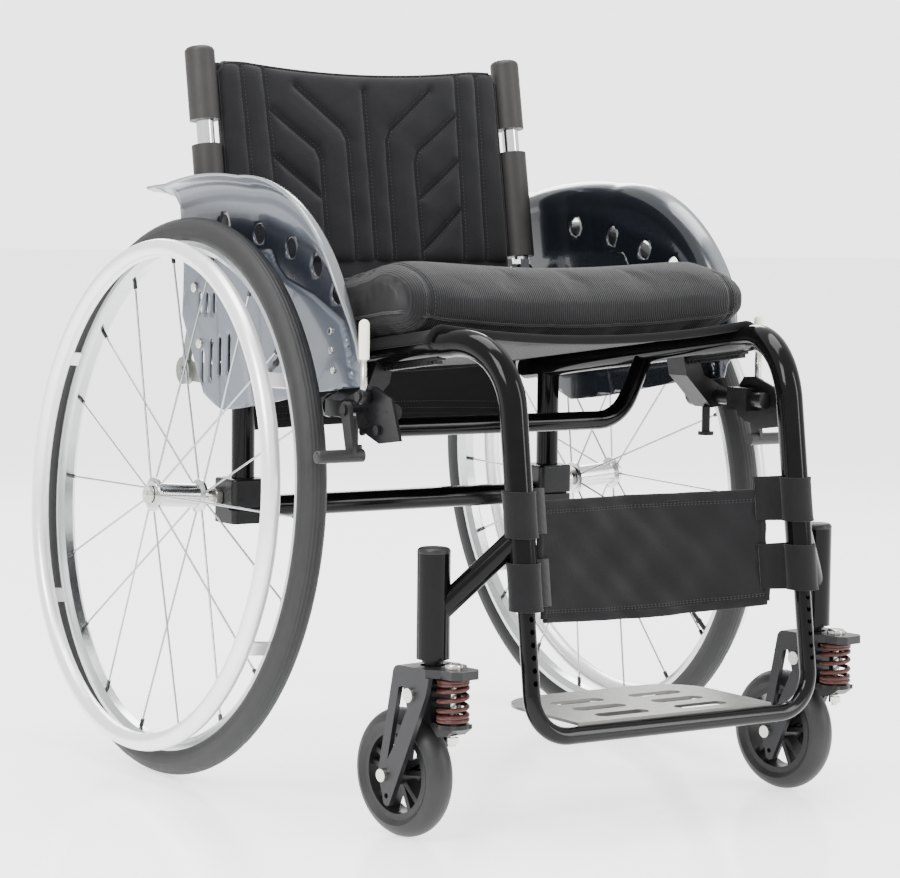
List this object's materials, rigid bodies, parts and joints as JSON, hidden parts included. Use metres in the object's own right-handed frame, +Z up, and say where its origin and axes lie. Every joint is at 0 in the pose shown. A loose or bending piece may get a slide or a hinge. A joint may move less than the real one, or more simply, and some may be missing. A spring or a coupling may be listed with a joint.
{
  "type": "manual wheelchair",
  "caption": "Rigid-frame manual wheelchair with fold-down back, side guards, sprung swivelling casters, cambered spoked quick-release wheels and a height-set footrest.",
  "frame": {"origin": "on the floor, under the middle of the bounding box across and fore-and-aft", "axes": "+Z up, the sitter faces -Y, +X is the sitter's left; +Y is the long way, front to back, and +X the short way across"},
  "size_m": [0.6742, 0.8233, 0.7779],
  "materials": {
    "bar_grey": "dark grey knurled sleeve",
    "black_alloy": "satin black anodised alloy",
    "black_cloth": "black woven nylon",
    "black_plastic": "black moulded plastic",
    "caster_rubber": "dark grey solid tyre",
    "chrome_tube": "polished tube",
    "cushion_mesh": "charcoal ribbed mesh",
    "foot_alloy": "satin dark tube",
    "fork_grey": "dark grey anodised fork",
    "frame_paint": "gloss black enamel",
    "grey_alloy": "matt grey alloy",
    "guard_composite": "blue-grey metallic outside, dark inside",
    "handrim_chrome": "polished handrim",
    "hub_alloy": "turned hub",
    "lever_cream": "cream moulded lever",
    "plate_alloy": "brushed plate",
    "rim_alloy": "bright anodised rim",
    "sleeve_grey": "satin dark grey foam sleeve",
    "spoke_steel": "thin bright spokes, black nipples",
    "spring_copper": "copper-red coil",
    "steel": "bright zinc-plated steel",
    "strap_webbing": "black nylon webbing",
    "tyre": "black smooth tyre",
    "upholstery": "charcoal padded cloth with stitched seams"
  },
  "bodies": {
    "frame": {"axle_clamps": "black_alloy", "axle_sleeves": "steel", "axle_tube": "frame_paint", "back_posts": "frame_paint", "barrel_caps": "black_plastic", "brake_mounts": "black_alloy", "calf_strap": "strap_webbing", "caster_barrels": "frame_paint", "caster_bearings": "steel", "cross_brace": "frame_paint", "footrest_bushes": "black_plastic", "frame_bolts": "steel", "guard_left": "guard_composite", "guard_right": "guard_composite", "lower_back_panel": "black_cloth", "outriggers": "frame_paint", "rear_posts": "frame_paint", "recline_brackets": "grey_alloy", "seat_cushion": "cushion_mesh", "seat_sling": "black_cloth", "side_tube_left": "frame_paint", "side_tube_right": "frame_paint"},
    "backrest": {"back_canes": "chrome_tube", "lower_sleeves": "sleeve_grey", "upper_sleeves": "sleeve_grey", "back_upholstery": "upholstery"},
    "footrest": {"footrest_tube": "foot_alloy", "footplate": "plate_alloy"},
    "axle_left": {"axle_pin_left": "steel"},
    "button_left": {"release_button_left": "steel"},
    "wheel_left": {"hub_left": "hub_alloy", "spokes_left": "spoke_steel", "rim_left": "rim_alloy", "tyre_left": "tyre", "handrim_left": "handrim_chrome"},
    "swivel_left": {"caster_yoke_left": "black_alloy", "caster_guide_bolt_left": "steel", "caster_spring_left": "spring_copper"},
    "fork_left": {"caster_fork_left": "fork_grey", "caster_bolts_left": "steel"},
    "roller_left": {"caster_wheel_left": "black_plastic", "caster_tyre_left": "caster_rubber"},
    "lever_left": {"brake_lever_left": "lever_cream"},
    "bar_left": {"brake_bar_left": "bar_grey"},
    "axle_right": {"axle_pin_right": "steel"},
    "button_right": {"release_button_right": "steel"},
    "wheel_right": {"hub_right": "hub_alloy", "spokes_right": "spoke_steel", "rim_right": "rim_alloy", "tyre_right": "tyre", "handrim_right": "handrim_chrome"},
    "swivel_right": {"caster_yoke_right": "black_alloy", "caster_guide_bolt_right": "steel", "caster_spring_right": "spring_copper"},
    "fork_right": {"caster_fork_right": "fork_grey", "caster_bolts_right": "steel"},
    "roller_right": {"caster_wheel_right": "black_plastic", "caster_tyre_right": "caster_rubber"},
    "lever_right": {"brake_lever_right": "lever_cream"},
    "bar_right": {"brake_bar_right": "bar_grey"}
  },
  "joints": [
    {"name": "back_fold", "type": "hinge", "parent": "frame", "child": "backrest", "pos_m": [0, 0.16275, 0.532], "axis": [1, 0, 0], "range_deg": [0, 90]},
    {"name": "footrest_height", "type": "slide", "parent": "frame", "child": "footrest", "axis": [0, 0.1344, 0.9909], "range_m": [-0.02, 0.06]},
    {"name": "wheel_release_left", "type": "slide", "parent": "frame", "child": "axle_left", "axis": [0.9974, 0, 0.0715], "range_m": [0, 0.12]},
    {"name": "release_button_left", "type": "slide", "parent": "axle_left", "child": "button_left", "axis": [-0.9974, 0, -0.0715], "range_m": [0, 0.003], "stiffness_N_per_m": 600, "springref_m": -0.002},
    {"name": "wheel_spin_left", "type": "hinge", "parent": "axle_left", "child": "wheel_left", "pos_m": [0.274, 0.11575, 0.29528], "axis": [0.9974, 0, 0.0715], "continuous": true},
    {"name": "caster_swivel_left", "type": "hinge", "parent": "frame", "child": "swivel_left", "pos_m": [0.2355, -0.32925, 0.177], "axis": [0, 0, 1], "continuous": true},
    {"name": "caster_suspension_left", "type": "hinge", "parent": "swivel_left", "child": "fork_left", "pos_m": [0.23525, -0.32747, 0.1445], "axis": [0.9903, 0.1392, 0], "range_deg": [0, 6], "stiffness_Nm_per_rad": 60, "springref_deg": -5.73, "deforming": ["caster_spring_left"]},
    {"name": "caster_spin_left", "type": "hinge", "parent": "fork_left", "child": "roller_left", "pos_m": [0.22993, -0.28964, 0.0625], "axis": [0.9903, 0.1392, 0], "continuous": true},
    {"name": "brake_lever_left", "type": "hinge", "parent": "frame", "child": "lever_left", "pos_m": [0.245, -0.21725, 0.419], "axis": [1, 0, 0], "range_deg": [0, 57]},
    {"name": "brake_bar_left", "type": "hinge", "parent": "frame", "child": "bar_left", "pos_m": [0.254, -0.19925, 0.405], "axis": [1, 0, 0], "range_deg": [0, 39]},
    {"name": "wheel_release_right", "type": "slide", "parent": "frame", "child": "axle_right", "axis": [-0.9974, 0, 0.0715], "range_m": [0, 0.12]},
    {"name": "release_button_right", "type": "slide", "parent": "axle_right", "child": "button_right", "axis": [0.9974, 0, -0.0715], "range_m": [0, 0.003], "stiffness_N_per_m": 600, "springref_m": -0.002},
    {"name": "wheel_spin_right", "type": "hinge", "parent": "axle_right", "child": "wheel_right", "pos_m": [-0.274, 0.11575, 0.29528], "axis": [-0.9974, 0, 0.0715], "continuous": true},
    {"name": "caster_swivel_right", "type": "hinge", "parent": "frame", "child": "swivel_right", "pos_m": [-0.2355, -0.32925, 0.177], "axis": [0, 0, 1], "continuous": true},
    {"name": "caster_suspension_right", "type": "hinge", "parent": "swivel_right", "child": "fork_right", "pos_m": [-0.23575, -0.32747, 0.1445], "axis": [0.9903, 0.1392, 0], "range_deg": [0, 6], "stiffness_Nm_per_rad": 60, "springref_deg": -5.73, "deforming": ["caster_spring_right"]},
    {"name": "caster_spin_right", "type": "hinge", "parent": "fork_right", "child": "roller_right", "pos_m": [-0.24107, -0.28964, 0.0625], "axis": [0.9903, 0.1392, 0], "continuous": true},
    {"name": "brake_lever_right", "type": "hinge", "parent": "frame", "child": "lever_right", "pos_m": [-0.245, -0.21725, 0.419], "axis": [1, 0, 0], "range_deg": [0, 57]},
    {"name": "brake_bar_right", "type": "hinge", "parent": "frame", "child": "bar_right", "pos_m": [-0.254, -0.19925, 0.405], "axis": [1, 0, 0], "range_deg": [0, 39]}
  ],
  "couplings": [
    {"joint": "brake_bar_left", "follows": "brake_lever_left", "ratio": 0.68},
    {"joint": "brake_bar_right", "follows": "brake_lever_right", "ratio": 0.68}
  ]
}
